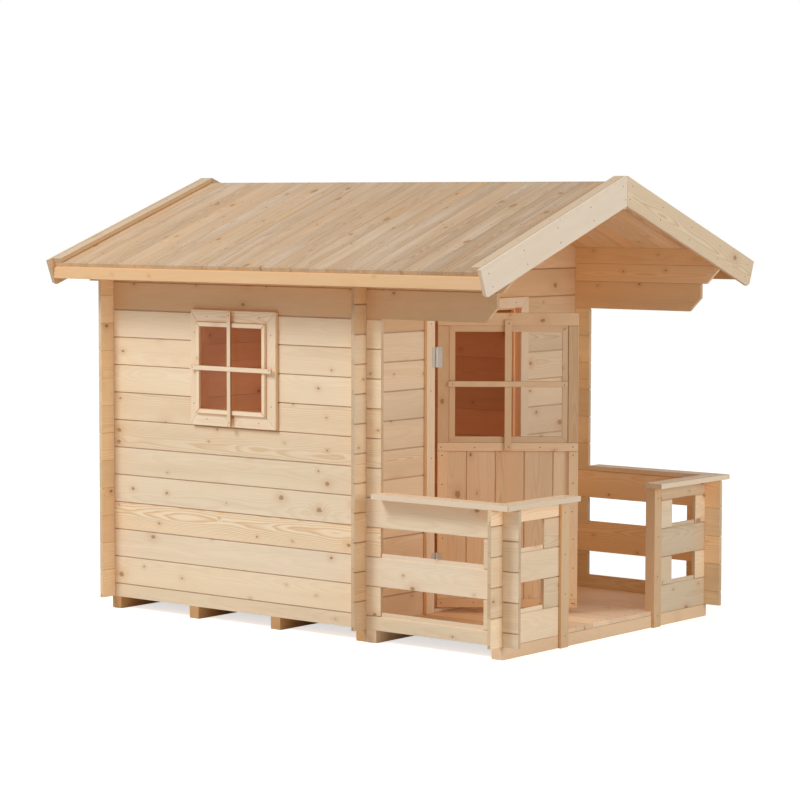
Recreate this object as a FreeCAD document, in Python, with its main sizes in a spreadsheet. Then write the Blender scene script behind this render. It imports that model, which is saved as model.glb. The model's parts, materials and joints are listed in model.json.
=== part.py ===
import FreeCAD, Part
import os
import re
import Sketcher

# Timber playhouse with a porch, built from tongued boards that cross at notched corners.
# The origin is on the ground, under the middle of the roof's outline.
# The porch faces -Y, the window is in the -X wall and +Z is up.

# Driving dimensions in millimetres
SIZES = {
    # Plan of the cabin and the porch
    "wall_span": 1396,
    "cabin_depth": 1376,
    "porch_depth": 654,
    "corner_overrun": 72,
    "porch_roof_overhang": 52,
    "rear_roof_overhang": 125,
    # Wall boards
    "board_height": 114,
    "board_thickness": 16,
    "board_chamfer": 3.5,
    "joint_reveal": 2,
    "tongue_height": 14,
    "tongue_thickness": 5,
    "fit_gap": 0.3,
    # Floor
    "joist_size": 50,
    "floor_thickness": 16,
    # Porch rails
    "entrance_width": 586,
    "post_width": 50,
    "post_depth": 31,
    "post_cheek": 13,
    "post_groove": 10,
    "stub_length": 160,
    "post_stub_length": 95,
    "cap_width": 80,
    "cap_thickness": 20,
    "cap_side_overhang": 61,
    "cap_front_overhang": 69,
    "left_cap_setback": 5,
    "right_cap_overhang": 39,
    # Wall head and roof
    "bracket_overhang": 622,
    "bracket_chamfer": 55,
    "lower_plate_height": 74,
    "plate_chamfer": 58,
    "upper_plate_height": 68,
    "roof_rise": 252,
    "roof_thickness": 16,
    "roof_groove": 3,
    "eave_reach": 197,
    "barge_thickness": 16,
    "barge_width": 110,
    "barge_drop": 24,
    "barge_corner": 12,
    "verge_width": 48,
    "verge_thickness": 20,
    "fascia_height": 46,
    "fascia_thickness": 20,
    "fascia_proud": 7,
    "ridge_beam_width": 34,
    "ridge_beam_height": 90,
    # Doorway and its leaf
    "door_shift": 8,
    "door_width": 555,
    "door_head_cut": 70,
    "door_side_gap": 8.5,
    "door_top_gap": 3.4,
    "door_foot_gap": 6.6,
    "door_thickness": 28,
    "door_open_degrees": 52,
    "sill_thickness": 16,
    "casing_width": 50,
    "casing_thickness": 16,
    "door_head_casing": 43,
    "jamb_thickness": 16,
    "stop_width": 8,
    "door_light_height": 512,
    "hinge_stile_width": 45,
    "free_stile_width": 40,
    "top_rail_height": 50,
    "bead_width": 24,
    "bead_setback": 3,
    "bead_rebate": 7,
    "frame_board": 12,
    "lower_stile_width": 37,
    "lower_rail_height": 34,
    "bar_thickness": 8,
    "door_bar_width": 27,
    "door_cross_bar": 23,
    "door_bar_foot": 30,
    "door_bar_head": 26,
    "door_cross_end": 42,
    "door_cross_drop": 280,
    "pane_thickness": 4,
    # Hinges
    "hinge_height": 80,
    "hinge_plate_width": 18,
    "hinge_plate_thickness": 1.5,
    "knuckle_radius": 4,
    "pin_radius": 1.8,
    "pin_clearance": 0.05,
    "low_hinge_height": 178,
    "high_hinge_drop": 175,
    # Window
    "window_place": 685,
    "window_foot": 792,
    "window_width": 373,
    "window_height": 368,
    "window_strip": 19,
    "window_proud": 10,
    "window_casing": 48,
    "window_rear_casing": 35,
    "window_bar_width": 19,
    "window_bar_setback": 10,
    "window_upright_setback": 3,
    # Length of every through cut
    "overrun": 6000,
}

# Places and sizes that follow from the driving dimensions
PLACES = {
    "span_half": "wall_span / 2",
    "roof_front": "porch_depth + porch_roof_overhang + barge_thickness",
    "roof_rear": "rear_roof_overhang + barge_thickness",
    "front_reach": "max(roof_front; porch_depth + corner_overrun)",
    "front_face": "(front_reach - cabin_depth - roof_rear) / 2",
    "rear_face": "front_face + cabin_depth",
    "return_face": "front_face - porch_depth",
    "front_end": "front_face - corner_overrun",
    "rear_end": "rear_face + corner_overrun",
    "rail_end": "return_face - corner_overrun",
    "roof_front_edge": "front_face - roof_front + barge_thickness",
    "roof_rear_edge": "rear_face + roof_rear - barge_thickness",
    "room_half": "span_half - board_thickness",
    "wall_base": "joist_size",
    "rail_top": "wall_base + 4.5 * board_height",
    "plate_base": "wall_base + 11.5 * board_height",
    "plate_joint": "plate_base + lower_plate_height",
    "eave_line": "plate_joint + upper_plate_height",
    "ridge_line": "eave_line + roof_rise",
    "roof_slope": "roof_rise / room_half",
    "roof_cosine": "cos(atan(roof_slope))",
    "roof_length": "(span_half + eave_reach) / roof_cosine",
    "floor_top": "wall_base + floor_thickness",
    "post_inner": "entrance_width / 2",
    "post_outer": "post_inner + post_width",
    "post_front": "return_face - post_cheek",
    "post_back": "post_front + post_cheek + post_depth",
    "cap_outer": "span_half + cap_side_overhang",
    "cap_front": "return_face - cap_front_overhang",
    "opening_half": "door_width / 2 + door_side_gap",
    "door_centre": "-door_shift",
    "sill_top": "floor_top + sill_thickness",
    "door_foot": "sill_top + door_foot_gap",
    "opening_head": "wall_base + 10 * board_height + door_head_cut",
    "door_head": "opening_head - door_top_gap",
    "casing_face": "front_face - casing_thickness",
    "hinge_x": "door_centre - opening_half + door_side_gap / 2",
    "hinge_y": "casing_face - knuckle_radius",
    "leaf_start": "door_side_gap / 2",
    "leaf_end": "leaf_start + door_width",
    "leaf_face": "knuckle_radius",
    "leaf_back": "leaf_face + door_thickness",
    "leaf_joint": "door_head - door_light_height",
    "low_hinge": "door_foot + low_hinge_height - hinge_height / 2",
    "high_hinge": "door_head - high_hinge_drop - hinge_height / 2",
    "glass_low": "leaf_joint + bead_width - bead_rebate",
    "glass_high": "door_head - top_rail_height - bead_width + bead_rebate",
    "window_centre": "front_face + window_place",
    "window_low": "wall_base + window_foot",
    "window_high": "window_low + window_height",
    "window_middle": "window_low + window_height / 2",
    "window_front": "window_centre - window_width / 2",
    "window_rear": "window_centre + window_width / 2",
    "casing_front": "window_front - fit_gap - window_casing",
    "casing_rear": "window_rear + fit_gap + window_rear_casing",
    "casing_low": "window_low - fit_gap - window_casing",
    "casing_high": "window_high + fit_gap + window_casing",
    "window_face": "-span_half - casing_thickness - window_proud",
    "window_back": "-room_half + casing_thickness + window_proud",
    "hole_half": "window_width / 2 + fit_gap",
}

FLOOR_BOARDS = 12
ROOF_BOARDS = 24
DOOR_PLANKS = 5
CABIN_JOISTS = 4
KNUCKLES = 3
LEFT = -1
RIGHT = 1

doc = FreeCAD.newDocument("Playhouse")
sheet = doc.addObject("Spreadsheet::Sheet", "Sizes")
for row, (alias, value) in enumerate(SIZES.items(), start=1):
    sheet.set(f"A{row}", alias.replace("_", " "))
    sheet.set(f"B{row}", str(value))
    sheet.setAlias(f"B{row}", alias)
doc.recompute()


def formula(text):
    """Turn the names in a formula into cells of the sheet."""
    def swap(match):
        word = match.group(0)
        if word in SIZES:
            return "Sizes." + word
        if word in PLACES:
            return "(" + formula(PLACES[word]) + ")"
        return word
    return re.sub(r"[a-z][a-z_]*", swap, str(text))


def number(text):
    """Work a formula out with the sheet's present values."""
    result = sheet.evalExpression(formula(text))
    return float(getattr(result, "Value", result))


def bind(item, prop, text):
    """Tie one property to a formula."""
    item.setExpression(prop, formula(text))


def course(count):
    """Height of a wall joint, counted in courses above the joists."""
    return f"(wall_base + {count} * board_height)"


def new_body(label):
    """Start one sub-part."""
    body = doc.addObject("PartDesign::Body", label)
    body.Label = label
    return body


def origin_part(body, role):
    """Find a plane or an axis of the body's own origin."""
    for item in body.Origin.OriginFeatures:
        if item.Role == role:
            return item
    raise ValueError(role)


def draw(body, plane, at, loops):
    """Sketch closed outlines on a plane that lies at a distance from the origin."""
    sketch = body.newObject("Sketcher::SketchObject", body.Label + "_outline")
    sketch.AttachmentSupport = [(origin_part(body, plane + "_Plane"), "")]
    sketch.MapMode = "FlatFace"
    sign = "-" if plane == "XZ" else ""
    bind(sketch, "AttachmentOffset.Base.z", f"{sign}({at})")
    for loop in loops:
        first = sketch.GeometryCount
        count = len(loop)
        spots = [FreeCAD.Vector(number(u), number(v), 0) for u, v in loop]
        for index in range(count):
            sketch.addGeometry(Part.LineSegment(spots[index], spots[(index + 1) % count]))
        for index in range(count):
            this = first + index
            following = first + (index + 1) % count
            sketch.addConstraint(Sketcher.Constraint("Coincident", this, 2, following, 1))
        for index in range(count):
            u, v = loop[index]
            across = sketch.addConstraint(
                Sketcher.Constraint("DistanceX", -1, 1, first + index, 1, spots[index].x))
            bind(sketch, f"Constraints[{across}]", u)
            upward = sketch.addConstraint(
                Sketcher.Constraint("DistanceY", -1, 1, first + index, 1, spots[index].y))
            bind(sketch, f"Constraints[{upward}]", v)
    return sketch


def draw_circle(body, plane, at, centre, radius):
    """Sketch one circle."""
    sketch = body.newObject("Sketcher::SketchObject", body.Label + "_circle")
    sketch.AttachmentSupport = [(origin_part(body, plane + "_Plane"), "")]
    sketch.MapMode = "FlatFace"
    bind(sketch, "AttachmentOffset.Base.z", at)
    u, v = centre
    middle = FreeCAD.Vector(number(u), number(v), 0)
    sketch.addGeometry(Part.Circle(middle, FreeCAD.Vector(0, 0, 1), number(radius)))
    for kind, value, text in (("DistanceX", middle.x, u), ("DistanceY", middle.y, v)):
        place = sketch.addConstraint(Sketcher.Constraint(kind, -1, 1, 0, 3, value))
        bind(sketch, f"Constraints[{place}]", text)
    size = sketch.addConstraint(Sketcher.Constraint("Radius", 0, number(radius)))
    bind(sketch, f"Constraints[{size}]", radius)
    return sketch


def add(body, plane, start, end, loops):
    """Pad outlines from one distance to another along the plane's axis."""
    sketch = draw(body, plane, f"(({start}) + ({end})) / 2", loops)
    pad = body.newObject("PartDesign::Pad", body.Label + "_pad")
    pad.Profile = sketch
    pad.Midplane = True
    bind(pad, "Length", f"({end}) - ({start})")
    return pad


def cut(body, plane, loops, start="-overrun / 2", end="overrun / 2"):
    """Pocket outlines from one distance to another, or right through."""
    sketch = draw(body, plane, f"(({start}) + ({end})) / 2", loops)
    pocket = body.newObject("PartDesign::Pocket", body.Label + "_pocket")
    pocket.Profile = sketch
    pocket.Midplane = True
    bind(pocket, "Length", f"({end}) - ({start})")
    return pocket


def repeat(body, feature, axis, count, pitch):
    """Repeat a feature along an axis."""
    pattern = body.newObject("PartDesign::LinearPattern", body.Label + "_pattern")
    pattern.Originals = [feature]
    pattern.Direction = (origin_part(body, axis + "_Axis"), [""])
    pattern.Mode = "Spacing"
    bind(pattern, "Offset", pitch)
    pattern.Occurrences = count
    body.Tip = pattern
    return pattern


def rectangle(u_low, u_high, v_low, v_high):
    """Corners of an upright rectangle."""
    return [(u_low, v_low), (u_high, v_low), (u_high, v_high), (u_low, v_high)]


def mitred_frame(left, right, low, high, side, head, foot=None, far_side=None):
    """Four mitred boards inside a rectangle, or three where the foot is open."""
    gap = "fit_gap / 2"
    in_left, in_right = f"{left} + {side}", f"{right} - {far_side or side}"
    in_high = f"{high} - {head}"
    in_low = low if foot is None else f"{low} + {foot}"
    boards = [
        [(left, low), (in_left, in_low), (in_left, f"{in_high} - {gap}"), (left, f"{high} - {gap}")],
        [(right, low), (in_right, in_low), (in_right, f"{in_high} - {gap}"), (right, f"{high} - {gap}")],
        [(left, f"{high} + {gap}"), (in_left, f"{in_high} + {gap}"),
         (in_right, f"{in_high} + {gap}"), (right, f"{high} + {gap}")],
    ]
    if foot is not None:
        boards.append([(left, f"{low} - {gap}"), (in_left, f"{in_low} - {gap}"),
                       (in_right, f"{in_low} - {gap}"), (right, f"{low} - {gap}")])
    return boards


# Tongued boards and their corner notches

def board_outline(across, low, high, tongue=True, groove=True):
    """Cross-section of a wall board: tongue above, groove below, lower shoulder outside."""
    middle = "board_thickness / 2"
    tongue_half = "tongue_thickness / 2"
    groove_half = f"({tongue_half} + fit_gap)"
    top = f"{high} - fit_gap"
    shoulder = f"{top} - joint_reveal" if tongue else top
    points = [("0", low)]
    if groove:
        points += [
            (f"{middle} - {groove_half}", low),
            (f"{middle} - {groove_half}", f"{low} + tongue_height"),
            (f"{middle} + {groove_half}", f"{low} + tongue_height"),
            (f"{middle} + {groove_half}", low),
        ]
    points += [("board_thickness", low), ("board_thickness", top)]
    if tongue:
        points += [
            (f"{middle} + {tongue_half}", top),
            (f"{middle} + {tongue_half}", f"{top} + tongue_height"),
            (f"{middle} - {tongue_half}", f"{top} + tongue_height"),
            (f"{middle} - {tongue_half}", shoulder),
        ]
    points += [
        ("board_chamfer", shoulder),
        ("0", f"{shoulder} - board_chamfer"),
    ]
    return [(across(depth), height) for depth, height in points]


def side_depth(side):
    """Depth into a side wall, from its outer face, as a place along X."""
    return lambda depth: f"{side} * (span_half - ({depth}))"


def front_depth(depth):
    """Depth into the front wall as a place along Y."""
    return f"front_face + ({depth})"


def back_depth(depth):
    """Depth into the back wall as a place along Y."""
    return f"rear_face - ({depth})"


def return_depth(depth):
    """Depth into the porch's front rail as a place along Y."""
    return f"return_face + ({depth})"


def board_row(body, plane, across, start, end, first, count=1, step=1, **profile):
    """One board, or several at a steady rise, between two ends."""
    height = profile.pop("height", 1)
    outline = board_outline(across, course(first), course(first + height), **profile)
    feature = add(body, plane, start, end, [outline])
    if count > 1:
        feature = repeat(body, feature, "Z", count, f"{step} * board_height")
    return feature


def notch_row(body, plane, low, high, joint, count):
    """Notches a quarter of a board deep on both sides of each joint, where a wall crosses."""
    reach = "(board_height / 4 + fit_gap / 2)"
    box = rectangle(f"{low} - fit_gap", f"{high} + fit_gap",
                    f"{course(joint)} - {reach}", f"{course(joint)} + {reach}")
    feature = cut(body, plane, [box])
    if count > 1:
        repeat(body, feature, "Z", count, "board_height")


def cross_front(body, joint, count):
    """Notches in a side wall's boards for the front wall."""
    notch_row(body, "YZ", "front_face", "front_face + board_thickness", joint, count)


def cross_back(body, joint, count):
    """Notches in a side wall's boards for the back wall."""
    notch_row(body, "YZ", "rear_face - board_thickness", "rear_face", joint, count)


def cross_return(body, joint, count):
    """Notches in a side rail's boards for the front rail."""
    notch_row(body, "YZ", "return_face", "return_face + board_thickness", joint, count)


def cross_side(body, side, joint, count):
    """Notches in a front or back board for a side wall."""
    low = "-span_half" if side == LEFT else "room_half"
    high = "-room_half" if side == LEFT else "span_half"
    notch_row(body, "XZ", low, high, joint, count)


# Floor

def cabin_joists():
    body = new_body("cabin_joists")
    first = rectangle("front_face", "front_face + joist_size", "0", "joist_size - fit_gap")
    joist = add(body, "YZ", "-span_half", "span_half", [first])
    repeat(body, joist, "Y", CABIN_JOISTS, f"(cabin_depth - joist_size) / {CABIN_JOISTS - 1}")


def porch_joists():
    body = new_body("porch_joists")
    front = rectangle("return_face", "return_face + joist_size", "0", "joist_size - fit_gap")
    rear = rectangle("front_face - joist_size - fit_gap", "front_face - fit_gap",
                     "0", "joist_size - fit_gap")
    add(body, "YZ", "-span_half", "span_half", [front, rear])


def floor_row(label, start, end):
    """Floor boards side by side between the side walls."""
    body = new_body(label)
    pitch = f"2 * (room_half - fit_gap) / {FLOOR_BOARDS}"
    board = rectangle("-room_half + fit_gap", f"-room_half + {pitch}", start, end)
    pad = add(body, "XY", "wall_base", "floor_top", [board])
    repeat(body, pad, "X", FLOOR_BOARDS, pitch)
    return body


def floors():
    floor_row("cabin_floor_boards", "front_face + board_thickness + fit_gap",
              "rear_face - board_thickness - fit_gap")
    porch = floor_row("porch_floor_boards", "return_face", "front_face - fit_gap")
    for side in (LEFT, RIGHT):
        inner = f"{side} * (post_inner - fit_gap)"
        outer = f"{side} * (post_outer + fit_gap)"
        wall = f"{side} * span_half"
        front = "return_face - post_cheek"
        rail_back = "return_face + board_thickness + fit_gap"
        post_clear = "post_back + fit_gap"
        cut(porch, "XY", [[(inner, front), (wall, front), (wall, rail_back),
                           (outer, rail_back), (outer, post_clear), (inner, post_clear)]])


# Side walls, with the boards that run on as porch rails

def side_wall(side, name):
    depth = side_depth(side)
    base = new_body(name + "_base_board")
    board_row(base, "XZ", depth, "rail_end", "rear_end", 0, height=0.5, groove=False)
    cross_return(base, 0.5, 1)
    cross_front(base, 0.5, 1)
    cross_back(base, 0.5, 1)

    rails = new_body(name + "_rail_boards")
    board_row(rails, "XZ", depth, "rail_end", "rear_end", 1.5, count=2, step=2)
    cross_return(rails, 1.5, 4)
    cross_front(rails, 1.5, 4)
    cross_back(rails, 1.5, 4)
    cut(rails, "YZ", [rectangle("rail_end - fit_gap", "front_end - fit_gap",
                                "rail_top - fit_gap", "rail_top + tongue_height")])

    upper = 2 if side == LEFT else 6
    boards = new_body(name + "_wall_boards")
    board_row(boards, "XZ", depth, "front_end", "rear_end", 0.5, count=2, step=2)
    board_row(boards, "XZ", depth, "front_end", "rear_end", 4.5, count=upper)
    cross_front(boards, 0.5, upper + 5)
    cross_back(boards, 0.5, upper + 5)

    bracket_front = "front_face - bracket_overhang"
    bracket = new_body(name + "_bracket_board")
    board_row(bracket, "XZ", depth, bracket_front, "rear_end", 10.5, tongue=False)
    cross_front(bracket, 10.5, 2)
    cross_back(bracket, 10.5, 2)
    foot = course(10.5)
    cut(bracket, "YZ", [[(bracket_front, foot), (f"{bracket_front} + bracket_chamfer", foot),
                         (bracket_front, f"{foot} + bracket_chamfer")]])

    plate_front = "roof_front_edge + fit_gap"
    plate_rear = "roof_rear_edge - fit_gap"
    outer, inner = depth("0"), depth("board_thickness")
    plate_outer_top = "eave_line - fit_gap - board_thickness * roof_slope"
    low, high = "plate_base", "plate_joint - fit_gap"
    plates = new_body(name + "_wall_plates")
    start, end = (outer, inner) if side == LEFT else (inner, outer)
    add(plates, "YZ", start, end, [[
        (f"{plate_front} + plate_chamfer", low), (plate_rear, low), (plate_rear, high),
        (plate_front, high), (plate_front, f"{low} + plate_chamfer")]])
    add(plates, "XZ", plate_front, plate_rear, [[
        (outer, "plate_joint"), (inner, "plate_joint"),
        (inner, "eave_line - fit_gap"), (outer, plate_outer_top)]])
    cross_front(plates, 11.5, 1)
    cross_back(plates, 11.5, 1)


def side_stubs():
    """Short blocks that fill the side rails' gaps at the front corners."""
    body = new_body("side_stubs")
    for side in (LEFT, RIGHT):
        board_row(body, "XZ", side_depth(side), "rail_end", "rail_end + stub_length", 0.5,
                  count=2, step=2)
    cross_return(body, 0.5, 4)


def window_boards():
    """Boards of the left wall that the window interrupts."""
    body = new_body("left_window_boards")
    board_row(body, "XZ", side_depth(LEFT), "front_end", "rear_end", 6.5, count=4)
    cross_front(body, 6.5, 5)
    cross_back(body, 6.5, 5)
    cut(body, "YZ", [rectangle("window_centre - hole_half", "window_centre + hole_half",
                               "window_low - fit_gap", "window_high + fit_gap")])


# Front and back walls

def front_wall():
    jamb = "opening_half + jamb_thickness + fit_gap"
    ends = {LEFT: ("-span_half - corner_overrun", f"door_centre - ({jamb})"),
            RIGHT: (f"door_centre + {jamb}", "span_half + corner_overrun")}
    for side, name in ((LEFT, "front_left_boards"), (RIGHT, "front_right_boards")):
        body = new_body(name)
        start, end = ends[side]
        board_row(body, "YZ", front_depth, start, end, 0, count=10)
        cross_side(body, side, 0, 11)
    head = new_body("front_head_boards")
    board_row(head, "YZ", front_depth, "-span_half - corner_overrun",
              "span_half + corner_overrun", 10, count=2)
    cross_side(head, LEFT, 10, 3)
    cross_side(head, RIGHT, 10, 3)
    cut(head, "XZ", [rectangle(f"door_centre - ({jamb})", f"door_centre + {jamb}",
                               course(9), "opening_head + jamb_thickness + fit_gap")])


def back_wall():
    body = new_body("back_wall_boards")
    board_row(body, "YZ", back_depth, "-span_half - corner_overrun",
              "span_half + corner_overrun", 0, count=12)
    cross_side(body, LEFT, 0, 13)
    cross_side(body, RIGHT, 0, 13)


def gable(label, depth):
    """Three boards between the wall plates, cut to the roof's slope and round the ridge beam."""
    body = new_body(label)
    board_row(body, "YZ", depth, "-room_half + fit_gap", "room_half - fit_gap", 12, count=3)
    for side in (LEFT, RIGHT):
        edge = f"{side} * span_half"
        low = "ridge_line - 2 * fit_gap - span_half * roof_slope"
        cut(body, "XZ", [[("0", "ridge_line - 2 * fit_gap"), (edge, low),
                          (edge, "ridge_line + board_height"), ("0", "ridge_line + board_height")]])
    slot = "ridge_beam_width / 2 + fit_gap"
    cut(body, "XZ", [rectangle(f"-({slot})", slot, "ridge_line - ridge_beam_height - fit_gap",
                               "ridge_line + board_height")])


# Porch rails

def ordered(side, outer, inner):
    """Put the smaller place first."""
    return (outer, inner) if side == LEFT else (inner, outer)


def return_stubs():
    """Short blocks that fill the front rails' gaps, at the corners and beside the posts."""
    body = new_body("return_stubs")
    for side in (LEFT, RIGHT):
        end = f"{side} * (span_half + corner_overrun)"
        block = f"{side} * (span_half + corner_overrun - stub_length)"
        seat = f"{side} * (post_outer - post_groove + fit_gap)"
        post_block = f"{side} * (post_outer + post_stub_length)"
        board_row(body, "YZ", return_depth, *ordered(side, end, block), 1, count=2, step=2)
        board_row(body, "YZ", return_depth, *ordered(side, post_block, seat), 1, count=2, step=2)
        cross_side(body, side, 1, 4)


def porch_return(side, name):
    """The front rail on one side of the entrance: its boards and its post."""
    end = f"{side} * (span_half + corner_overrun)"
    seat = f"{side} * (post_outer - post_groove + fit_gap)"
    boards = new_body(name + "_return_boards")
    board_row(boards, "YZ", return_depth, *ordered(side, end, seat), 0, count=2, step=2)
    board_row(boards, "YZ", return_depth, *ordered(side, end, seat), 4, height=0.5, tongue=False)
    cross_side(boards, side, 0, 5)

    post = new_body(name + "_post")
    outer, inner = f"{side} * post_outer", f"{side} * post_inner"
    groove = f"{side} * (post_outer - post_groove)"
    add(post, "XY", "0", "rail_top - fit_gap",
        [rectangle(*ordered(side, outer, inner), "post_front", "post_back")])
    cut(post, "YZ", [rectangle("return_face - fit_gap", "post_back + fit_gap", "-joist_size",
                               "wall_base")])
    cut(post, "XY", [rectangle(*ordered(side, outer, groove), "return_face - fit_gap",
                               "return_face + board_thickness + fit_gap")])


def caps(side, name):
    outer = f"{side} * cap_outer"
    inner = f"{side} * (cap_outer - cap_width)"
    back = "cap_front + cap_width"
    mitre = f"{side} * fit_gap / 2"
    low, high = "rail_top", "rail_top + cap_thickness"
    side_cap = new_body(name + "_side_cap")
    add(side_cap, "XY", low, high, [[
        (outer, "cap_front + fit_gap / 2"), (inner, f"{back} + fit_gap / 2"),
        (inner, "front_end - fit_gap"), (outer, "front_end - fit_gap")]])
    front_cap = new_body(name + "_front_cap")
    beyond = "-left_cap_setback" if side == LEFT else "right_cap_overhang"
    end = f"{side} * (post_inner - ({beyond}))"
    add(front_cap, "XY", low, high, [[
        (f"{outer} - {mitre}", "cap_front"), (end, "cap_front"), (end, back),
        (f"{inner} - {mitre}", back)]])


# Roof, drawn level and then tilted about the ridge

def tilt(body, side):
    bind(body, "Placement.Base.z", "ridge_line")
    body.Placement = FreeCAD.Placement(
        body.Placement.Base, FreeCAD.Rotation(FreeCAD.Vector(0, 1, 0), side))
    bind(body, "Placement.Rotation.Angle", f"{side} * atan(roof_slope)")


def roof_edge(side, height, gap="fit_gap"):
    """Place of the plumb cut at the ridge, at a height above the boards' underside."""
    return f"{side} * ({gap} / 2 - ({height}) * roof_slope)"


def roof_boards(side, name):
    body = new_body(name + "_roof_boards")
    pitch = f"((roof_rear_edge) - (roof_front_edge) - 2 * fit_gap) / {ROOF_BOARDS}"
    start = "roof_front_edge + fit_gap"
    eave = f"{side} * roof_length"
    board = [(roof_edge(side, "0"), "0"), (eave, "0"), (eave, "roof_thickness"),
             (roof_edge(side, "roof_thickness"), "roof_thickness")]
    pad = add(body, "XZ", start, f"{start} + {pitch} - fit_gap", [board])
    repeat(body, pad, "Y", ROOF_BOARDS, pitch)
    seam = f"{start} + {pitch} - fit_gap / 2"
    groove = cut(body, "YZ", [[(f"{seam} - roof_groove", "0"), (f"{seam} + roof_groove", "0"),
                               (seam, "roof_groove")]])
    repeat(body, groove, "Y", ROOF_BOARDS - 1, pitch)
    tilt(body, side)


def verge(side, name):
    """The battens that lie on the roof along its front and rear edges."""
    body = new_body(name + "_verge_battens")
    low, high = "roof_thickness + fit_gap", "roof_thickness + verge_thickness"
    eave = f"{side} * roof_length"
    section = [(roof_edge(side, low), low), (eave, low), (eave, high), (roof_edge(side, high), high)]
    add(body, "XZ", "roof_front_edge + fit_gap", "roof_front_edge + verge_width", [section])
    add(body, "XZ", "roof_rear_edge - verge_width", "roof_rear_edge - fit_gap", [section])
    tilt(body, side)


def bargeboard(side, label, start, end):
    body = new_body(label)
    high = "roof_thickness + verge_thickness"
    low = f"{high} - barge_width"
    foot = f"{side} * (roof_length + barge_drop)"
    clipped = f"{side} * (roof_length + barge_drop - barge_corner)"
    add(body, "XZ", start, end, [[
        (roof_edge(side, low), low), (clipped, low), (foot, f"{low} + barge_corner"),
        (foot, high), (roof_edge(side, high), high)]])
    tilt(body, side)


def eave_fascias():
    """Battens under the lower ends of the roof boards."""
    body = new_body("eave_fascias")
    out = "span_half + eave_reach + fascia_proud"
    outer_top = f"ridge_line - fit_gap / roof_cosine - ({out}) * roof_slope"
    inner_top = f"{outer_top} + fascia_thickness * roof_slope"
    foot = f"{outer_top} - fascia_height"
    for side in (LEFT, RIGHT):
        outer = f"{side} * ({out})"
        inner = f"{side} * ({out} - fascia_thickness)"
        add(body, "XZ", "roof_front_edge + fit_gap", "roof_rear_edge - fit_gap",
            [[(outer, foot), (inner, foot), (inner, inner_top), (outer, outer_top)]])


def ridge_beam():
    body = new_body("ridge_beam")
    half = "ridge_beam_width / 2"
    top = "ridge_line - fit_gap / roof_cosine"
    shoulder = f"{top} - {half} * roof_slope"
    foot = "ridge_line - ridge_beam_height"
    add(body, "XZ", "roof_front_edge + fit_gap", "roof_rear_edge - fit_gap",
        [[(f"-{half}", foot), (half, foot), (half, shoulder), ("0", top), (f"-{half}", shoulder)]])


# Doorway

def door_frame():
    left = "door_centre - opening_half"
    right = "door_centre + opening_half"
    outer = new_body("door_casing")
    add(outer, "XZ", "casing_face", "front_face - fit_gap", mitred_frame(
        f"{left} - casing_width", f"{right} + casing_width", "floor_top + fit_gap",
        "opening_head + door_head_casing", "casing_width", "door_head_casing"))
    lining = new_body("door_lining")
    foot = "wall_base + fit_gap"
    head = "opening_head + jamb_thickness"
    add(lining, "XZ", "front_face", "front_face + board_thickness", [
        rectangle(f"{left} - jamb_thickness", left, foot, "opening_head - fit_gap"),
        rectangle(right, f"{right} + jamb_thickness", foot, "opening_head - fit_gap"),
        rectangle(f"{left} - jamb_thickness", f"{right} + jamb_thickness", "opening_head", head)])
    back = "front_face + board_thickness + fit_gap"
    inner = new_body("door_inner_casing")
    add(inner, "XZ", back, f"{back} + casing_thickness", mitred_frame(
        f"{left} + stop_width - casing_width", f"{right} - stop_width + casing_width",
        "floor_top + fit_gap", "opening_head - stop_width + door_head_casing",
        "casing_width", "door_head_casing"))
    sill = new_body("door_sill")
    add(sill, "XY", "floor_top + fit_gap", "sill_top", [rectangle(
        f"{left} + fit_gap", f"{right} - fit_gap", "casing_face",
        "front_face + board_thickness")])


# Door leaf, drawn shut from its hinge axis and then swung open

def swing(body):
    bind(body, "Placement.Base.x", "hinge_x")
    bind(body, "Placement.Base.y", "hinge_y")
    body.Placement = FreeCAD.Placement(
        body.Placement.Base, FreeCAD.Rotation(FreeCAD.Vector(0, 0, 1), LEFT))
    bind(body, "Placement.Rotation.Angle", "-door_open_degrees")


def door_piece(label, loops, start, end):
    body = new_body(label)
    add(body, "XZ", start, end, loops)
    swing(body)
    return body


def door_frame_boards():
    rail_foot = "door_head - top_rail_height"
    stile_low, stile_high = "leaf_joint + fit_gap / 2", f"{rail_foot} - fit_gap"
    door_piece("door_upper_stiles", [
        rectangle("leaf_start", "leaf_start + hinge_stile_width", stile_low, stile_high),
        rectangle("leaf_end - free_stile_width", "leaf_end", stile_low, stile_high)],
        "leaf_face", "leaf_back")
    door_piece("door_top_rail", [rectangle("leaf_start", "leaf_end", rail_foot, "door_head")],
               "leaf_face", "leaf_back")
    panel_top = "leaf_joint - fit_gap / 2"
    lower = "door_foot + lower_rail_height"
    upper = f"{panel_top} - lower_rail_height"
    board_back = "leaf_face + frame_board"
    door_piece("door_lower_frame", [
        rectangle("leaf_start", "leaf_end", "door_foot", lower),
        rectangle("leaf_start", "leaf_end", upper, panel_top),
        rectangle("leaf_start", "leaf_start + lower_stile_width",
                  f"{lower} + fit_gap", f"{upper} - fit_gap"),
        rectangle("leaf_end - lower_stile_width", "leaf_end",
                  f"{lower} + fit_gap", f"{upper} - fit_gap")], "leaf_face", board_back)


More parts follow.
